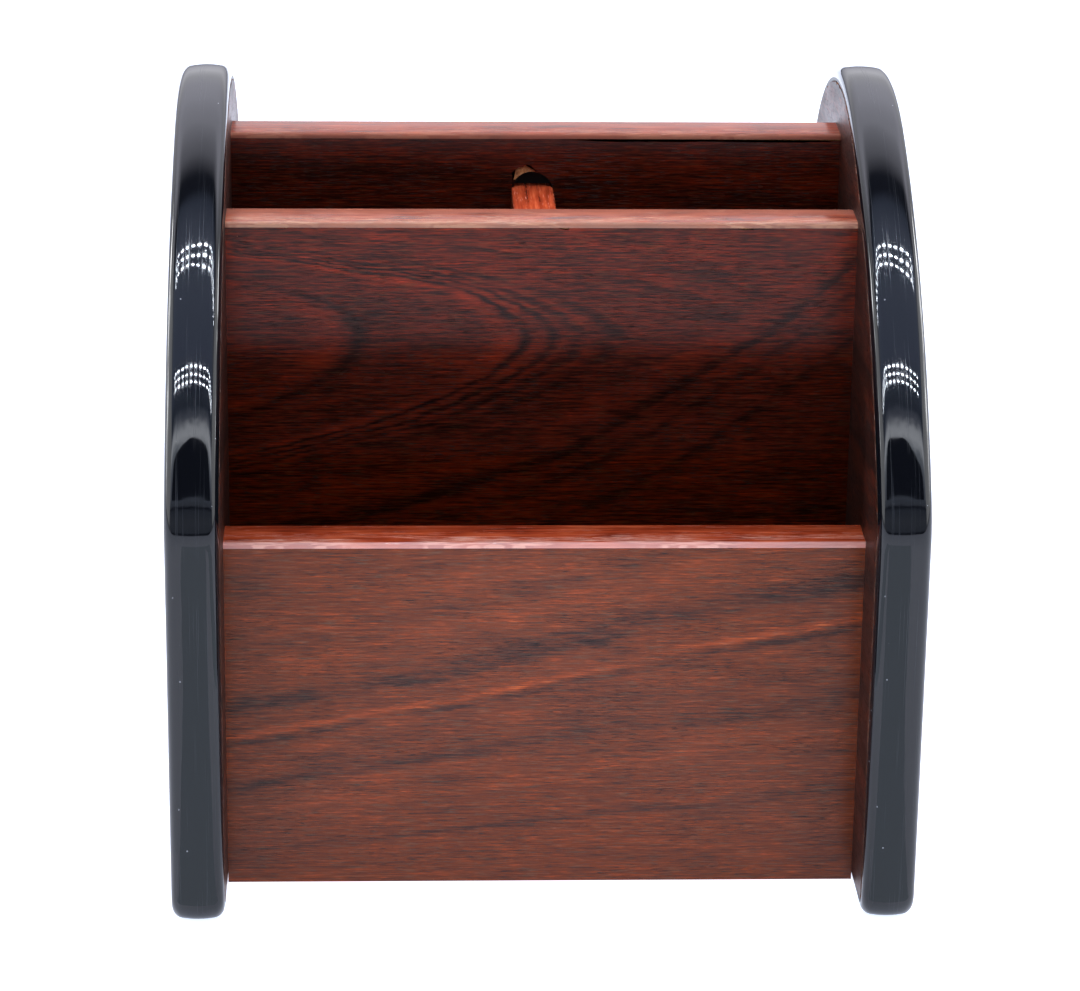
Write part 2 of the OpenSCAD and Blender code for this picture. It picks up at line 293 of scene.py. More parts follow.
def print_tone(tree, along, level, figure, seed, tone_shift, contrast):
    """Tone of the printed grain, with the fibres and pores that also shape its surface."""
    wander = stretched_noise(tree, along, level, seed, 46, 15, 2.0)
    wobble = stretched_noise(tree, along, level, seed + 7, 7, 1.6, 3.0)
    rings = figure(tree, along, spread(tree, wobble, 1.8, spread(tree, wander, 6.0, level)))
    fade = stretched_noise(tree, along, level, seed + 3, 16, 4, 2.0)
    strength = smooth_step(tree, fade, 0.3, 0.62, 0.3, 1.0)
    fibres = stretched_noise(tree, along, level, seed + 11, 13.0, 0.5, 4.0, 0.62)
    threads = stretched_noise(tree, along, level, seed + 13, 4.5, 0.22, 2.0, 0.6)
    patches = stretched_noise(tree, along, level, seed + 17, 26.0, 4.0, 2.0)
    flecks = stretched_noise(tree, along, level, seed + 29, 3.6, 0.55, 1.0)
    pores = stretched_noise(tree, along, level, seed + 19, 2.8, 0.17, 1.0)
    where = stretched_noise(tree, along, level, seed + 37, 20, 5, 1.0)
    pore_mask = calc(
        tree, "MULTIPLY", smooth_step(tree, pores, 0.6, 0.68), smooth_step(tree, where, 0.3, 0.65)
    )
    tone = spread(tree, rings, strength, 0.58 + tone_shift)
    tone = spread(tree, fibres, 0.82 * contrast, tone)
    tone = spread(tree, threads, 0.75 * contrast, tone)
    tone = spread(tree, patches, 0.26, tone)
    tone = calc(tree, "MULTIPLY_ADD", smooth_step(tree, flecks, 0.6, 0.72), 0.1, tone)
    tone = calc(tree, "MULTIPLY_ADD", pore_mask, -0.26, tone)
    return tone, fibres, pore_mask


def laminate_material(
    name, figure, seed, axes="XZ", tone_shift=0.0, rough=(0.2, 0.28), tint=(1.0, 1.0, 1.0),
    gloss=0.28, contrast=1.0
):
    """Printed wood laminate under a satin coat. The grain runs along the first axis.

    tone_shift and tint change its colour all over. rough is the range of the coat's roughness,
    gloss is its specular level, and contrast is how strongly the fibres stand out.
    """
    material, tree, shader = new_material(name)
    place = dict(zip("XYZ", position_mm(tree)))
    along, level = place[axes[0]], place[axes[1]]
    tone, fibres, pore_mask = print_tone(tree, along, level, figure, seed, tone_shift, contrast)
    colour = ramp(tree, tone, PALETTE)
    grey = stretched_noise(tree, along, level, seed + 41, 5.0, 0.4, 3.0, 0.6)
    colour = mix(tree, smooth_step(tree, grey, 0.5, 0.7, 0.0, 0.3), colour, srgb(104, 88, 70))
    dust_place = combine(tree, along, level, seed)
    dust = calc(
        tree, "MAXIMUM", specks(tree, dust_place, 9.0, 0.14, 0.14),
        specks(tree, dust_place, 17.0, 0.28, 0.1),
    )
    colour = mix(tree, calc(tree, "MULTIPLY", dust, 0.5), colour, srgb(196, 176, 162))
    colour = multiply(tree, colour, (*tint, 1.0))
    tree.links.new(colour, shader.inputs["Base Color"])

    sheen_noise = stretched_noise(tree, along, level, seed + 23, 14, 6, 2.0)
    sheen = smooth_step(tree, sheen_noise, 0.2, 0.8, *rough)
    sheen = calc(tree, "MULTIPLY_ADD", pore_mask, 0.3, sheen)
    tree.links.new(sheen, shader.inputs["Roughness"])
    shader.inputs["Specular IOR Level"].default_value = gloss
    height = calc(tree, "MULTIPLY_ADD", pore_mask, -1.0, calc(tree, "MULTIPLY", fibres, 0.35))
    bump(tree, shader, height, 0.03, 0.7)
    return material


# ---------------------------------------------------------------- other materials

# Stands for a band that has neither a painted arris highlight nor a painted sheen on its rear half.
NO_SPAN = (-9999.0, 9999.0)


def band_material(name, seed, axis="X", span=NO_SPAN, painted_sheen=0.0, tint=None, gloss=0.35):
    """Orange-brown plastic band: faint streaks, scratches, and a painted highlight along the front
    arris.

    span is where the band's width starts and ends. painted_sheen is how pale its rear half is
    painted, as a painted sheen; tint darkens the whole band, as painted shade; and gloss is its
    specular level.
    """
    material, tree, shader = new_material(name)
    place = dict(zip("XYZ", position_mm(tree)))
    along, level = place[axis], place["Y" if axis == "X" else "X"]
    streaks = stretched_noise(tree, along, level, seed, 16, 0.9, 3.0, 0.6)
    blotches = stretched_noise(tree, along, level, seed + 3, 11, 5, 2.0)
    tone = spread(tree, blotches, 0.7, streaks)
    colour = ramp(tree, tone, (
        (0.25, srgb(112, 42, 24)), (0.45, srgb(158, 66, 38)),
        (0.6, srgb(180, 84, 50)), (0.8, srgb(210, 112, 74)),
    ))
    drift = spread(tree, blotches, 1.6, level)
    # Painted sheen: the rear half of the band painted pale, for the light it reflects there.
    middle = (span[0] + span[1]) / 2
    pale = smooth_step(tree, drift, middle - 1.2, middle + 2.0, 0.0, painted_sheen)
    colour = mix(tree, pale, colour, srgb(205, 158, 156))
    # Painted highlight: a pale line along the front arris, where its rounding catches the light.
    drift = spread(tree, blotches, 0.5, level)
    front = smooth_step(tree, drift, span[0] + 0.35, span[0] + 0.75, 1.0, 0.0)
    colour = mix(tree, calc(tree, "MULTIPLY", front, 0.6), colour, srgb(218, 172, 164))
    marks = stretched_noise(tree, along, level, seed + 5, 6.5, 0.17, 2.0, 0.7)
    where = stretched_noise(tree, along, level, seed + 9, 24, 3.0, 1.0)
    near = smooth_step(tree, level, span[0] + 1.5, span[0] + 7.0, 0.1, -0.05)
    scratch = calc(
        tree, "MULTIPLY", smooth_step(tree, calc(tree, "ADD", marks, near), 0.57, 0.64),
        smooth_step(tree, where, 0.4, 0.52),
    )
    colour = mix(tree, calc(tree, "MULTIPLY", scratch, 0.75), colour, srgb(228, 178, 162))
    # Painted shade: the tint darkens the bands further back.
    if tint:
        colour = multiply(tree, colour, (*tint, 1.0))
    tree.links.new(colour, shader.inputs["Base Color"])
    worn = calc(tree, "ADD", scratch, blotches)
    tree.links.new(smooth_step(tree, worn, 0.3, 1.3, 0.12, 0.26), shader.inputs["Roughness"])
    shader.inputs["Specular IOR Level"].default_value = gloss
    bump(tree, shader, calc(tree, "ADD", streaks, scratch), 0.02, 0.5)
    return material


def moulding_material():
    """Gloss black plastic, with fine scratches along it and a little dust."""
    material, tree, shader = new_material("gloss_black_moulding")
    sweep = add(tree, "ShaderNodeAttribute", attribute_name="sweep").outputs["Vector"]
    parts = add(tree, "ShaderNodeSeparateXYZ", {0: sweep})
    along, across, flank = parts.outputs
    lines = stretched_noise(tree, along, across, 2.0, 60, 0.11, 1.0)
    where = stretched_noise(tree, along, across, 5.0, 26, 3, 1.0)
    scratch = calc(
        tree, "MULTIPLY", smooth_step(tree, lines, 0.64, 0.72), smooth_step(tree, where, 0.42, 0.58)
    )
    dust = calc(
        tree, "MAXIMUM",
        specks(tree, combine(tree, along, across, 3.0), 3.6, 0.17, 0.5),
        specks(tree, combine(tree, along, across, 11.0), 7.0, 0.26, 0.32),
    )
    colour = mix(tree, calc(tree, "MULTIPLY", scratch, 0.16), srgb(15, 17, 22), srgb(120, 124, 132))
    colour = mix(tree, calc(tree, "MULTIPLY", dust, 0.7), colour, srgb(158, 160, 166))
    tree.links.new(colour, shader.inputs["Base Color"])
    haze = stretched_noise(tree, along, across, 8.0, 18, 4, 2.0)
    rough = smooth_step(tree, haze, 0.3, 0.75, 0.025, 0.07)
    rough = calc(tree, "MULTIPLY_ADD", calc(tree, "MAXIMUM", scratch, dust), 0.4, rough)
    rough = calc(tree, "ADD", rough, smooth_step(tree, flank, 0.0, 1.0, 0.0, 0.32))
    tree.links.new(rough, shader.inputs["Roughness"])
    shader.inputs["IOR"].default_value = 1.47
    waves = stretched_noise(tree, along, across, 14.0, 15, 6, 1.0)
    height = calc(tree, "MULTIPLY_ADD", waves, 6.0, calc(tree, "MULTIPLY", scratch, -0.25))
    bump(tree, shader, height, 0.012, 1.0)
    return material


def satin_material(base):
    """The duller flanks of the moulding, beside the boards."""
    material = base.copy()
    material.name = "satin_black_flank"
    shader = material.node_tree.nodes["Principled BSDF"]
    shader.inputs["Specular IOR Level"].default_value = 0.27
    return material


def board_material(name, painted_shade_from=None):
    """Raw fibreboard. Deeper along +Y than the depth given, it is painted near black, as painted
    shade in the groove.
    """
    material, tree, shader = new_material(name)
    x, y, z = position_mm(tree)
    fibres = fine_noise(tree, combine(tree, calc(tree, "MULTIPLY", x, 2.2), y, z), 5.0, 0.7)
    colour = ramp(tree, fibres, (
        (0.3, srgb(118, 74, 40)), (0.5, srgb(176, 124, 74)), (0.7, srgb(206, 160, 104)),
    ))
    if painted_shade_from is not None:
        # Painted shade: near black deep in the divider's groove.
        depth = smooth_step(tree, y, painted_shade_from + 0.05, painted_shade_from + 0.5)
        colour = mix(tree, depth, colour, srgb(12, 6, 5))
    tree.links.new(colour, shader.inputs["Base Color"])
    shader.inputs["Roughness"].default_value = 0.85
    bump(tree, shader, fibres, 0.15, 0.8)
    return material


def dowel_material():
    """Turned beech, with grain along the dowel."""
    material, tree, shader = new_material("beech_dowel")
    x, y, z = position_mm(tree)
    grain = stretched_noise(tree, x, calc(tree, "ADD", y, z), 1.0, 8, 0.5, 3.0)
    colour = ramp(tree, grain, ((0.3, srgb(170, 128, 82)), (0.7, srgb(216, 180, 132))))
    tree.links.new(colour, shader.inputs["Base Color"])
    shader.inputs["Roughness"].default_value = 0.7
    bump(tree, shader, grain, 0.05, 0.6)
    return material


def rim_material(base):
    """A side panel's laminate, with raw board showing where its edge has chipped."""
    material = base.copy()
    material.name = base.name + "_chipped"
    tree = material.node_tree
    shader = tree.nodes["Principled BSDF"]
    printed = shader.inputs["Base Color"].links[0].from_socket
    chip = add(tree, "ShaderNodeAttribute", attribute_name="chip").outputs["Fac"]
    x, y, z = position_mm(tree)
    grit = fine_noise(tree, combine(tree, x, calc(tree, "MULTIPLY", y, 2.0), z), 4.0, 0.7)
    raw = ramp(tree, grit, (
        (0.3, srgb(112, 52, 24)), (0.5, srgb(176, 104, 58)), (0.68, srgb(220, 172, 116)),
    ))
    colour = mix(tree, chip, printed, raw)
    tree.links.new(colour, shader.inputs["Base Color"])
    return material


# ---------------------------------------------------------------- mesh helpers


def new_piece(name, bm, material, replaced, smooth=False):
    """Makes the piece from a bmesh in metres, and lets it stand for the CAD nodes it replaces."""
    bmesh.ops.recalc_face_normals(bm, faces=bm.faces)
    for face in bm.faces:
        face.smooth = smooth
    mesh = bpy.data.meshes.new(name)
    bm.to_mesh(mesh)
    bm.free()
    piece = bpy.data.objects.new(name, mesh)
    bpy.context.scene.collection.objects.link(piece)
    mesh.materials.append(material)
    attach(piece, "root")
    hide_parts(*replaced)
    return piece


def paint(node, material):
    """Gives a CAD node a material."""
    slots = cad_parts[node].data.materials
    slots.clear()
    slots.append(material)


def facing(angle):
    """Direction at an angle in degrees."""
    return Vector((math.cos(math.radians(angle)), math.sin(math.radians(angle))))


def join_rings(bm, rings):
    """Faces between closed rings of points. Returns (place in the ring, face) for each."""
    made = []
    for first, second in zip(rings, rings[1:]):
        for i in range(len(first)):
            j = (i + 1) % len(first)
            made.append((i, bm.faces.new((first[i], first[j], second[j], second[i]))))
    return made


def rim_stations(step):
    """Points about step apart round the moulding's crown, from the seam and back to it.

    Each is (point, outward direction, distance run), in the plane of the side panel.
    """
    dome_c = Vector((BODY_D - DOME_R, BODY_H - DOME_R))
    lean, turn = math.radians(DOME_LEAN), math.radians(KNEE_TURN)
    reach = dome_c.x - DOME_R * math.sin(lean) - KNEE_R * (1 - math.cos(turn))
    arc_r = reach / (math.cos(turn) - math.sin(lean))
    arc_c = dome_c + (arc_r - DOME_R) * Vector((math.sin(lean), -math.cos(lean)))
    knee_c = Vector((KNEE_R, arc_c.y + (arc_r - KNEE_R) * math.sin(turn)))
    foot_z = FOOT_R - FOOT_PRESS
    seam = (BODY_D - SEAM_GAP) / 2
    stations = []

    def put(point, out):
        run = 0.0
        if stations:
            run = stations[-1][2] + (point - stations[-1][0]).length
            if run - stations[-1][2] < 1e-6:
                return
        stations.append((point, out, run))

    def line(start, end, out):
        count = max(1, round((end - start).length / step))
        for i in range(count + 1):
            put(start.lerp(end, i / count), out)

    def arc(centre, radius, start, end):
        count = max(6, round(radius * math.radians(abs(end - start)) / step))
        for i in range(count + 1):
            out = facing(start + (end - start) * i / count)
            put(centre + radius * out, out)

    line(Vector((seam, -FOOT_PRESS)), Vector((FOOT_R, -FOOT_PRESS)), facing(270))
    arc(Vector((FOOT_R, foot_z)), FOOT_R, 270, 180)
    line(Vector((0, foot_z)), Vector((0, knee_c.y)), facing(180))
    arc(knee_c, KNEE_R, 180, 180 - KNEE_TURN)
    arc(arc_c, arc_r, 180 - KNEE_TURN, 90 + DOME_LEAN)
    arc(dome_c, DOME_R, 90 + DOME_LEAN, 0)
    line(Vector((BODY_D, dome_c.y)), Vector((BODY_D, foot_z)), facing(0))
    arc(Vector((BODY_D - FOOT_R, foot_z)), FOOT_R, 0, -90)
    rear_foot = Vector((BODY_D - FOOT_R, -FOOT_PRESS))
    line(rear_foot, Vector((BODY_D - seam, -FOOT_PRESS)), facing(270))
    return stations


def moulding_section():
    """Outer section of the moulding, as (distance across, distance in from the crown).

    Its crown runs tangent into two shoulders, and its two lower corners are eased a little.
    """
    half = SIDE_T / 2
    tilt = math.asin((half - SHOULDER_R) / (CROWN_R - SHOULDER_R))
    centre = Vector((SHOULDER_R, CROWN_R - (CROWN_R - SHOULDER_R) * math.cos(tilt)))
    quarter = 90 - math.degrees(tilt)
    left = [(0.1, MOULDING_H), (0.0, MOULDING_H - 0.15)]
    left += [tuple(centre - SHOULDER_R * facing(quarter * i / 12)) for i in range(13)]
    crown = [tilt * i / 8 for i in range(-7, 8)]
    right = [(SIDE_T - x, depth) for x, depth in reversed(left)]
    middle = [(half + CROWN_R * math.sin(t), CROWN_R * (1 - math.cos(t))) for t in crown]
    return left + middle + right


def moulding_rings(bm, side):
    """Rings of points round the moulding's section, and the number of points on its outer side.

    The sweep layer holds the distances along and across, and 1 on the flanks.
    """
    outer = moulding_section()
    last = len(outer) - 1
    step_across = 0.42
    tongue = [(SIDE_T + TONGUE_T) / 2, (SIDE_T - TONGUE_T) / 2]
    left = LOW.x if side == "left" else HIGH.x - SIDE_T + RIM_SHOWN
    narrow = 1 - RIM_SHOWN / SIDE_T
    sweep = bm.verts.layers.float_vector.new("sweep")
    rings = []
    for point, out, run in rim_stations(0.9):
        deep = FOOT_TONGUE if point.y < TONGUE_START else TONGUE_D
        section = outer + [
            (tongue[0], MOULDING_H), (tongue[0], MOULDING_H + deep),
            (tongue[1], MOULDING_H + deep), (tongue[1], MOULDING_H),
        ]
        ring = []
        for i, (across, depth) in enumerate(section):
            place = point - depth * out
            where = Vector((left + across * narrow, LOW.y + place.x, max(place.y, 0.0)))
            vert = bm.verts.new(where * MM)
            flank = 1.0 if min(i, abs(last - i)) < 3 else 0.0
            vert[sweep] = Vector((run, i * step_across if i <= last else 0.0, flank))
            ring.append(vert)
        rings.append(ring)
    return rings, len(outer)


def moulding_piece(side, material, flank_material):
    """The moulding swept round the panel, pressed flat where it stands on the table."""
    bm = bmesh.new()
    rings, outer_count = moulding_rings(bm, side)
    flanks = (0, 1, outer_count - 3, outer_count - 2)
    for i, face in join_rings(bm, rings):
        face.material_index = 1 if i in flanks else 0
    bm.faces.new(rings[0])
    bm.faces.new(rings[-1])
    node = side + "_edge_moulding"
    piece = new_piece(node + "_gloss", bm, material, [node], smooth=True)
    piece.data.materials.append(flank_material)
    piece.data.set_sharp_from_angle(angle=math.radians(35))
    return piece


def chip_depths(stations, seed, amount):
    """How far the laminate's edge has broken away at each station: nowhere, or in short runs."""
    rand = random.Random(seed)
    depths = [0.0] * len(stations)
    step = stations[-1][2] / len(stations)
    for _ in range(amount):
        centre = rand.randrange(len(stations))
        half = rand.uniform(0.25, 1.1) / step
        deep = rand.uniform(0.12, 0.5)
        for i in range(int(centre - half), int(centre + half) + 1):
            share = 1 - ((i - centre) / (half + 0.5)) ** 2
            value = deep * max(share, 0) ** 0.5 * rand.uniform(0.7, 1)
            depths[i % len(stations)] = max(depths[i % len(stations)], value)
    return depths


def side_skin(side, layer, material, seed, chips):
    """Laminate on one face of a side panel, broken away in places along its edge."""
    stations = rim_stations(0.35)
    depths = chip_depths(stations, seed, chips)
    node = f"{side}_side_{layer}_laminate"
    low, high = box_mm(node)
    towards_right = (side == "left") == (layer == "inner")
    face_x, back_x = (high.x, low.x) if towards_right else (low.x, high.x)
    sink = (back_x - face_x) * 0.75
    bm = bmesh.new()
    chip = bm.verts.layers.float.new("chip")
    rings = []
    for inset in (0.0, 0.1, 0.2, 0.32, 0.46, 0.7, 1.6):
        ring = []
        for (point, out, _), deep in zip(stations, depths):
            place = point - (MOULDING_H + SKIN_GAP + inset) * out
            broken = deep > inset + 0.04
            x = face_x + (sink if broken else 0)
            vert = bm.verts.new(Vector((x, LOW.y + place.x, place.y)) * MM)
            vert[chip] = 0.75 if broken else 0.0
            ring.append(vert)
        rings.append(ring)
    back = []
    for point, out, _ in stations:
        place = point - (MOULDING_H + SKIN_GAP) * out
        vert = bm.verts.new(Vector((back_x, LOW.y + place.x, place.y)) * MM)
        vert[chip] = 1.0
        back.append(vert)
    join_rings(bm, [back] + rings)
    caps = [bm.faces.new(rings[-1]), bm.faces.new(list(reversed(back)))]
    bmesh.ops.triangulate(bm, faces=caps)
    return new_piece(node + "_skin", bm, material, [node])


def ragged_edge(start, end, height, seed, chips):
    """Points along a top edge from start to end, with small chips of (place, width, depth)."""
    rand = random.Random(seed)
    spacing = 0.5
    step = spacing if end > start else -spacing
    points = []
    for i in range(int(abs(end - start) / spacing) + 1):
        x = start + i * step
        drop = rand.uniform(0.0, 0.05)
        for place, width, depth in chips:
            share = 1 - ((x - place) / (width / 2)) ** 2
            drop = max(drop, depth * max(share, 0) ** 0.4 * rand.uniform(0.6, 1))
        points.append((x, height - drop))
    points.append((end, height))
    return points


def groove_end(centre, width, top, seed):
    """Outline of a round-ended groove, with the laminate broken away at the upper left."""
    rand = random.Random(seed)
    radius = width / 2
    arch = [facing(180 - 180 * i / 48) * radius for i in range(49)]
    arch = [(p.x, p.y - radius) for p in arch]
    broken = [
        (-4.2, -1.6), (-4.3, -0.1), (-3.5, 0.6), (-2.5, 1.1), (-1.4, 1.6), (-0.3, 1.4), (0.5, 0.6)
    ]
    ragged = []
    for first, second in zip(broken, broken[1:]):
        for share in (0, 0.34, 0.67):
            point = Vector(first).lerp(Vector(second), share)
            jog = Vector((rand.uniform(-0.13, 0.13), rand.uniform(-0.13, 0.13)))
            ragged.append(tuple(point + jog))
    ragged.append(broken[-1])
    before = [p for p in arch if p[0] < -3.4]
    after = [p for p in arch if p[0] > 0.5]
    return [(centre + x, top + z) for x, z in before + ragged + after]


def panel_skin(node, material, seed, chips, slot):
    """Laminate on an upright panel. slot is (centre, width, top) of a round-ended groove."""
    low, high = box_mm(node)
    outline = [(low.x, low.z)]
    if slot:
        centre, width, top = slot
        outline += [(centre - width / 2, low.z)]
        outline += groove_end(centre, width, top, seed)
        outline += [(centre + width / 2, low.z)]
    outline += [(high.x, low.z)]
    outline += ragged_edge(high.x, low.x, high.z, seed, chips)
    bm = bmesh.new()
    front = [bm.verts.new(Vector((x, low.y, z)) * MM) for x, z in outline]
    back = [bm.verts.new(Vector((x, high.y, z)) * MM) for x, z in outline]
    join_rings(bm, [front, back])
    bmesh.ops.triangulate(bm, faces=[bm.faces.new(front), bm.faces.new(back)])
    return new_piece(node + "_skin", bm, material, [node])


def band_section(width, height):
    """Section of a top band with both long edges rounded, as (across, height)."""
    points = [(0, 0)]
    for centre, start in ((BAND_ROUND, 180), (width - BAND_ROUND, 90)):
        for i in range(11):
            out = facing(start - 9 * i)
            points.append((centre + BAND_ROUND * out.x, height - BAND_ROUND * (1 - out.y)))
    points.append((width, 0))
    return points


def add_tip(bm, low, high, a, b, tip):
    """The narrower end of a band in its groove. a and b number its long and its cross axis."""
    shoulder, overlap, clearance = 0.6, 1, 0.02
    size = Vector((0, 0, high.z - low.z - clearance))
    size[a], size[b] = tip + overlap, high[b] - low[b] - 2 * shoulder
    centre = (low + high) / 2
    centre[a] = high[a] - (tip + overlap) / 2
    matrix = Matrix.Translation(centre * MM) @ Matrix.Diagonal((*(size * MM), 1))
    bmesh.ops.create_cube(bm, size=1, matrix=matrix)


def band_piece(node, material, along="X", tip=0.0):
    """A band with slightly uneven, handled edges. tip is how far it runs on into a groove."""
    low, high = box_mm(node)
    across = "Y" if along == "X" else "X"
    a, b = "XYZ".index(along), "XYZ".index(across)
    section = band_section(high[b] - low[b], high.z - low.z)
    length = high[a] - low[a] - tip
    step = 0.6
    count = round(length / step)
    bm = bmesh.new()
    rings = []
    for i in range(count + 1):
        run = length * i / count
        ring = []
        for across_at, level in section:
            wear = 0.0
            if level > 0:
                wear = 0.035 * max(noise.noise(Vector((run * 0.16, across_at * 0.5, low.z))), 0)
            where = Vector((0, 0, low.z + level - wear))
            where[a] = low[a] + run
            where[b] = low[b] + across_at
            ring.append(bm.verts.new(where * MM))
        rings.append(ring)
    join_rings(bm, rings)
    bm.faces.new(rings[0])
    bm.faces.new(rings[-1])
    if tip:
        add_tip(bm, low, high, a, b, tip)
    piece = new_piece(node + "_worn", bm, material, [node], smooth=True)
    piece.data.set_sharp_from_angle(angle=math.radians(40))
    return piece


# ---------------------------------------------------------------- the organizer

# Small chips along the panels' top edges, as (place, width, depth).
TOP_CHIPS = {
    "front": ((37, 0.7, 0.3), (-12, 0.5, 0.25)),
    "middle": ((4.6, 2.2, 0.45), (41.5, 3.6, 0.4), (-52, 0.8, 0.3)),
    "rear": ((24, 30, 0.7), (52, 26, 0.75)),
}
# Growth lines and noise seed of each panel's front.
PANEL_FIGURES = {
    "front": (fan_figure, 3.0), "middle": (cathedral_figure, 9.0), "rear": (plain_figure, 21.0)
}
# How each panel's front, each top band and the sides' inner faces differ from the defaults. Their
# tone shifts and tints paint light and shade into copies of one laminate: the front's copy paler, as
# painted light, and the middle's, the rear's and the inner faces' darker, as painted shade deeper in
# the tray.
PANEL_LOOKS = {
    "front": {"tone_shift": 0.02, "tint": (1.02, 1.16, 1.16), "contrast": 0.82},
    "middle": {"tone_shift": -0.12, "tint": (1.32, 0.68, 0.34), "gloss": 0.24},
    "rear": {"tone_shift": -0.17, "tint": (0.95, 0.5, 0.34)},
}
# The middle and rear bands' tints darken them as painted shade, and their pale rear halves are a
# painted sheen.
BAND_LOOKS = {
    "front": {"gloss": 0.35},
    "middle": {"painted_sheen": 0.4, "tint": (0.64, 0.6, 0.47), "gloss": 0.3},
    "rear": {"painted_sheen": 0.25, "tint": (0.5, 0.37, 0.29), "gloss": 0.12},
}
# The sides' inner faces are darker than the outer faces: painted shade inside the tray.
INNER_LOOKS = {"tone_shift": -0.26, "rough": (0.36, 0.48), "tint": (1.0, 0.8, 0.7)}


def build_side_panels():
    gloss = moulding_material()
    satin = satin_material(gloss)
    inner = laminate_material("side_inner", plain_figure, 31.0, "YZ", **INNER_LOOKS)
    outer = laminate_material("side_outer", cathedral_figure, 43.0, "YZ")
    inner, outer = rim_material(inner), rim_material(outer)
    core = board_material("fibreboard_side")
    for number, side in enumerate(SIDES):
        moulding_piece(side, gloss, satin)
        side_skin(side, "inner", inner, 5 + number, 190)
        side_skin(side, "outer", outer, 15 + number, 60)
        paint(side + "_side_core", core)


def rear_groove():
    """The divider's groove in the rear panel, as (centre, width, top)."""
    left, right = box_mm("divider_left_laminate")[0].x, box_mm("divider_right_laminate")[1].x
    return (left + right) / 2, right - left, box_mm("divider_edge_band")[1].z + GROOVE_ABOVE_BAND


def build_upright_panels():
    for name, (figure, seed) in PANEL_FIGURES.items():
        front = laminate_material(f"laminate_{name}_front", figure, seed, **PANEL_LOOKS[name])
        back = laminate_material(f"laminate_{name}_back", plain_figure, seed + 5)
        slot = rear_groove() if name == "rear" else None
        panel_skin(f"{name}_panel_front_laminate", front, 7, TOP_CHIPS[name], slot)
        paint(f"{name}_panel_back_laminate", back)
        band = f"{name}_panel_edge_band"
        span = (box_mm(band)[0].y, box_mm(band)[1].y)
        plastic = band_material(f"edge_band_{name}", seed, "X", span, **BAND_LOOKS[name])
        band_piece(band, plastic)
        # The rear panel's core gets painted shade inside the divider's groove.
        painted_shade_from = box_mm("rear_panel_core")[0].y if name == "rear" else None
        paint(f"{name}_panel_core", board_material(f"fibreboard_{name}", painted_shade_from))


def build_divider_and_floor():
    skin = laminate_material("laminate_divider", plain_figure, 57.0, "YZ")
    for side in SIDES:
        paint(f"divider_{side}_laminate", skin)
    core = board_material("fibreboard")
    paint("divider_core", core)
    paint("floor_core", core)
    tip = box_mm("divider_edge_band")[1].y - box_mm("rear_panel_front_laminate")[0].y
    band_piece("divider_edge_band", band_material("edge_band_divider", 5.0, "Y"), "Y", tip)
    for face in ("top", "bottom"):
        skin = laminate_material(f"laminate_floor_{face}", plain_figure, 61.0, "XY")
        paint(f"floor_{face}_laminate", skin)
    paint("joint_dowels", dowel_material())


# ---------------------------------------------------------------- studio


def stage_mesh(name, verts, faces, material):
    """A mesh in metres that isn't part of the object."""
    mesh = bpy.data.meshes.new(name)
    mesh.from_pydata(verts, [], faces)
    mesh.materials.append(material)
    thing = bpy.data.objects.new(name, mesh)
    bpy.context.scene.collection.objects.link(thing)
    return thing


def build_floor():
    """A light table: pale and matt, and lit a little from below."""
    material, tree, shader = new_material("light_table")
    x, y, _ = position_mm(tree)
    place = combine(tree, calc(tree, "DIVIDE", x, 40), calc(tree, "DIVIDE", y, 40))
    grain = fine_noise(tree, place, 3.0)
    tree.links.new(ramp(tree, grain, ((0.3, 0.80), (0.7, 0.82))), shader.inputs["Base Color"])
    shader.inputs["Roughness"].default_value = 0.6
    shader.inputs["Specular IOR Level"].default_value = 0.2
    shader.inputs["Emission Color"].default_value = (0.84, 0.92, 1.1, 1)
    shader.inputs["Emission Strength"].default_value = 0.95
    half = 8.0
    corners = [(-half, -half, 0), (half, -half, 0), (half, half, 0), (-half, half, 0)]
    stage_mesh("light_table", corners, [(0, 1, 2, 3)], material)


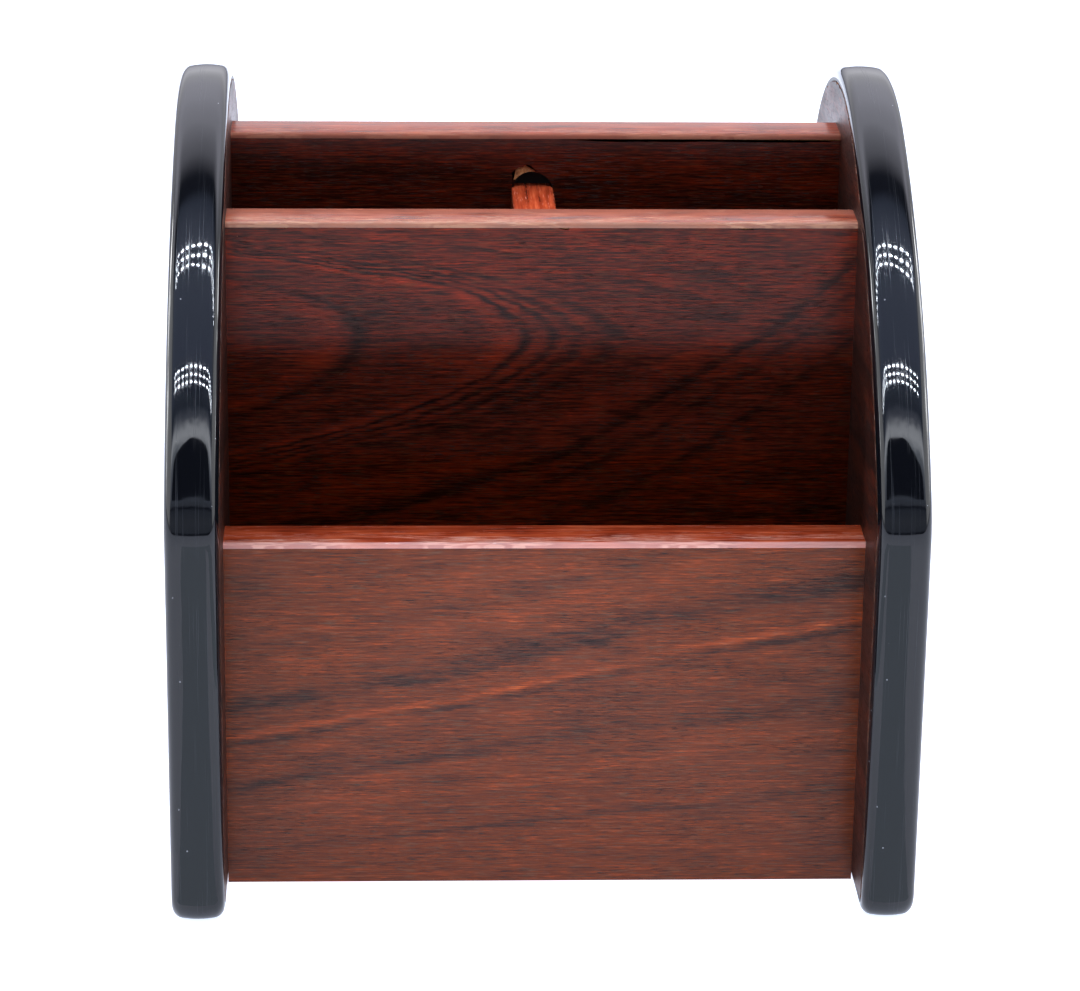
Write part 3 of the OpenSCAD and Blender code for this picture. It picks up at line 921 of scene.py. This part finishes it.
def build_world():
    """Light tent: bright behind, pale at the sides and overhead, and dark in front.

    share is 0 at the horizon in front, 0.5 overhead and 1 at the horizon behind.
    """
    world = bpy.data.worlds.new("light_tent")
    bpy.context.scene.world = world
    world.use_nodes = True
    tree = world.node_tree
    background = tree.nodes["Background"]
    direction = add(tree, "ShaderNodeTexCoord").outputs["Generated"]
    parts = add(tree, "ShaderNodeSeparateXYZ", {0: direction})
    x, y, z = parts.outputs
    turn = calc(tree, "ARCTAN2", z, calc(tree, "MULTIPLY", y, -1.0))
    share = calc(tree, "DIVIDE", turn, math.pi)
    tent = ramp(tree, share, (
        (0.0, (0.03, 0.03, 0.04, 1)), (0.2, (0.02, 0.02, 0.03, 1)),
        (0.225, (0.004, 0.004, 0.005, 1)), (0.28, (0.004, 0.004, 0.005, 1)),
        (0.305, (0.2, 0.25, 0.35, 1)), (0.37, (0.8, 0.95, 1.35, 1)), (0.5, (1.0, 1.15, 1.55, 1)),
        (0.545, (0.5, 0.6, 0.85, 1)), (0.56, (0.03, 0.03, 0.04, 1)), (0.58, (0.06, 0.06, 0.07, 1)),
        (0.61, (1.5, 1.5, 1.7, 1)), (0.66, (2.7, 2.7, 3.05, 1)), (0.76, (2.3, 2.3, 2.6, 1)),
        (0.83, (1.7, 1.7, 1.9, 1)), (0.88, (1.4, 1.4, 1.5, 1)), (0.93, (1.4, 1.4, 1.5, 1)),
        (1.0, (0.5, 0.5, 0.58, 1)),
    ))
    wall = smooth_step(tree, calc(tree, "ABSOLUTE", x), 0.6, 0.85)
    colour = mix(tree, wall, tent, (0.85, 0.86, 0.9, 1))
    tree.links.new(colour, background.inputs["Color"])
    background.inputs["Strength"].default_value = 1.0


def area_light(name, place, aim, width, height, power):
    """A rectangular light turned towards aim. Neither the camera nor reflections show it."""
    data = bpy.data.lights.new(name, "AREA")
    data.shape = "RECTANGLE"
    data.size, data.size_y = width, height
    data.energy = power
    light = bpy.data.objects.new(name, data)
    bpy.context.scene.collection.objects.link(light)
    light.location = place
    light.rotation_euler = (Vector(aim) - Vector(place)).to_track_quat("-Z", "Y").to_euler()
    light.visible_glossy = False
    light.visible_camera = False
    return light


def glow_material(name, colour, strength):
    """Emission alone. Returns the material, its tree and the emission node."""
    material, tree, shader = new_material(name)
    tree.nodes.remove(shader)
    glow = add(tree, "ShaderNodeEmission", {"Color": colour, "Strength": strength})
    tree.links.new(glow.outputs[0], tree.nodes["Material Output"].inputs["Surface"])
    return material, tree, glow


def show_in_gloss_only(thing):
    thing.visible_camera = False
    thing.visible_diffuse = False
    thing.visible_shadow = False


def led_strip(name, centre, material):
    """Rows of small oval lamps that show only as reflections."""
    rows, columns, sides = 3, 17, 8
    pitch, radius = Vector((0.03, 0.0125, 0)), Vector((0.0095, 0.0012, 0))
    verts, faces = [], []
    for i in range(rows):
        for j in range(columns):
            lamp = centre + pitch * Vector((j - (columns - 1) / 2, i - (rows - 1) / 2, 0))
            first = len(verts)
            verts += [lamp + radius * facing(360 / sides * k).to_3d() for k in range(sides)]
            faces.append(tuple(range(first, first + sides)))
    show_in_gloss_only(stage_mesh(name, verts, faces, material))


# Height of the reflector card's top.
CARD_TOP = 1.7


def reflector_glow():
    """Cloudy glow that is brightest near the card's top."""
    material, tree, glow = glow_material("reflector_card", (1, 1, 1, 1), 1.0)
    x, _, z = position_mm(tree)
    spot = combine(tree, calc(tree, "DIVIDE", x, 170), 0.0, calc(tree, "DIVIDE", z, 60))
    drift = spread(tree, fine_noise(tree, spot, 3.0), 150.0, z)
    level = calc(tree, "DIVIDE", drift, CARD_TOP / MM)
    tree.links.new(ramp(tree, level, (
        (0.0, (0.35, 0.4, 0.5, 1)), (0.2, (0.5, 0.55, 0.65, 1)), (0.37, (0.35, 0.4, 0.5, 1)),
        (0.42, (0.02, 0.02, 0.03, 1)), (0.46, (0.6, 0.66, 0.8, 1)), (0.52, (0.7, 0.8, 1.0, 1)),
        (0.66, (1.0, 1.1, 1.35, 1)), (0.76, (2.0, 2.2, 2.5, 1)), (0.83, (5.2, 5.4, 5.8, 1)),
        (0.87, (4.6, 4.8, 5.2, 1)), (0.93, (1.2, 1.3, 1.6, 1)), (1.0, (0.4, 0.5, 0.7, 1)),
    )), glow.inputs["Color"])
    return material


def reflector_card():
    """Pale card in front, far off, with a bell-shaped dark opening. It shows only in gloss."""
    y, side = -1.1, 1.9
    bell = [
        (0.97, 1.15), (1.02, 1.15), (1.1, 1.05), (1.19, 0.86), (1.27, 0.64), (1.34, 0.42), (1.38, 0.2)
    ]
    bell_low, bell_high = bell[0][0], bell[-1][0]
    quads = [((-side, 0.12), (side, 0.12), (side, bell_low), (-side, bell_low))]
    for (z0, w0), (z1, w1) in zip(bell, bell[1:]):
        quads.append(((-side, z0), (-w0, z0), (-w1, z1), (-side, z1)))
        quads.append(((w0, z0), (side, z0), (side, z1), (w1, z1)))
    quads.append(((-side, bell_high), (side, bell_high), (side, CARD_TOP), (-side, CARD_TOP)))
    verts = [(x, y, z) for quad in quads for x, z in quad]
    faces = [tuple(range(i, i + 4)) for i in range(0, len(verts), 4)]
    show_in_gloss_only(stage_mesh("reflector_card", verts, faces, reflector_glow()))


def side_cards():
    """Cards beside the object, with a brighter cloudy strip, for the moulding's shoulders."""
    plain, _, _ = glow_material("side_card", (0.95, 0.97, 1.0, 1), 2.6)
    bright, tree, glow = glow_material("side_strip", (0.97, 0.98, 1.0, 1), 1.0)
    _, y, z = position_mm(tree)
    spot = combine(tree, 0.0, calc(tree, "DIVIDE", y, 90), calc(tree, "DIVIDE", z, 90))
    clouds = smooth_step(tree, fine_noise(tree, spot, 3.0), 0.4, 0.62, 2.6, 14.0)
    tree.links.new(clouds, glow.inputs["Strength"])
    for number, side in enumerate((-1, 1)):
        x = side * 0.8
        corners = [(x, -0.5, 0.12), (x, 0.3, 0.12), (x, 0.3, 0.75), (x, -0.5, 0.75)]
        show_in_gloss_only(stage_mesh(f"side_card_{number}", corners, [(0, 1, 2, 3)], plain))
        x = side * 0.78
        corners = [(x, 0.04, 0.1), (x, 0.5, 0.24), (x, 0.5, 0.5), (x, 0.04, 0.3)]
        show_in_gloss_only(stage_mesh(f"side_strip_{number}", corners, [(0, 1, 2, 3)], bright))


def table_cards():
    """Grey cards on the table, which show in the lower parts of the mouldings."""
    grey, _, _ = glow_material("table_card", (1.32, 1.5, 1.72, 1), 1.0)
    z = 0.001
    for side in SIDES:
        low, high = box_mm(side + "_edge_moulding")
        x = (low.x + high.x) / 2 * MM
        near, far = low.y * MM - 0.004, low.y * MM - 0.36
        corners = [
            (x - 0.085, far, z), (x + 0.085, far, z), (x + 0.012, near, z), (x - 0.012, near, z)
        ]
        show_in_gloss_only(stage_mesh(f"table_card_{side}", corners, [(0, 1, 2, 3)], grey))


def build_flag():
    """A black card over the front panel that keeps the floor's light out of the front pocket."""
    material, _, shader = new_material("black_flag")
    shader.inputs["Base Color"].default_value = (0.004, 0.004, 0.004, 1)
    shader.inputs["Specular IOR Level"].default_value = 0.0
    low, high = box_mm("front_panel_edge_band")
    y, bottom, top = high.y - 4, high.z + 0.6, high.z + 23
    corners = [(low.x, y, bottom), (high.x, y, bottom), (high.x, y, top), (low.x, y, top)]
    corners = [Vector(corner) * MM for corner in corners]
    flag = stage_mesh("black_flag", corners, [(0, 1, 2, 3)], material)
    flag.visible_camera = False
    flag.visible_shadow = False


def build_lights():
    material, _, _ = glow_material("led", (0.86, 0.92, 1.0, 1), 150.0)
    height = 0.42
    for number, y in enumerate((-0.218, -0.057)):
        led_strip(f"led_strip_{number}", Vector((0, y, height)), material)
        above, aim = (0, y, height + 0.01), (0, 0, 0.05)
        area_light(f"strip_light_{number}", above, aim, 0.36, 0.05, 0.35)
    area_light("overhead", (0, 0.35, 1.3), (0, 0.2, 0), 2.4, 1.6, 9.0)
    side_cards()
    table_cards()
    reflector_card()


def build_camera():
    """A long lens from a little to the left, looking down on the object."""
    pitch, yaw, roll = math.radians(20.03), math.radians(2.46), math.radians(0.78)
    target = Vector((1.2, 0, 64.9)) * MM
    distance = 0.8348
    forward = Vector((math.sin(yaw), math.cos(yaw), 0)) * math.cos(pitch)
    forward.z = -math.sin(pitch)
    level = Vector((math.cos(yaw), -math.sin(yaw), 0))
    up = level.cross(forward)
    right = math.cos(roll) * level + math.sin(roll) * up
    up = right.cross(forward)
    data = bpy.data.cameras.new("camera")
    data.sensor_width = 36
    data.lens = 130
    data.clip_start, data.clip_end = 0.05, 50
    camera = bpy.data.objects.new("camera", data)
    bpy.context.scene.collection.objects.link(camera)
    rotation = Matrix((right, up, -forward)).transposed()
    camera.matrix_world = Matrix.Translation(target - forward * distance) @ rotation.to_4x4()
    bpy.context.scene.camera = camera


build_camera()
build_side_panels()
build_upright_panels()
build_divider_and_floor()
build_floor()
build_world()
build_lights()
build_flag()
view = bpy.context.scene.view_settings
view.view_transform = "Standard"
view.exposure = 0.2
view.gamma = 0.88
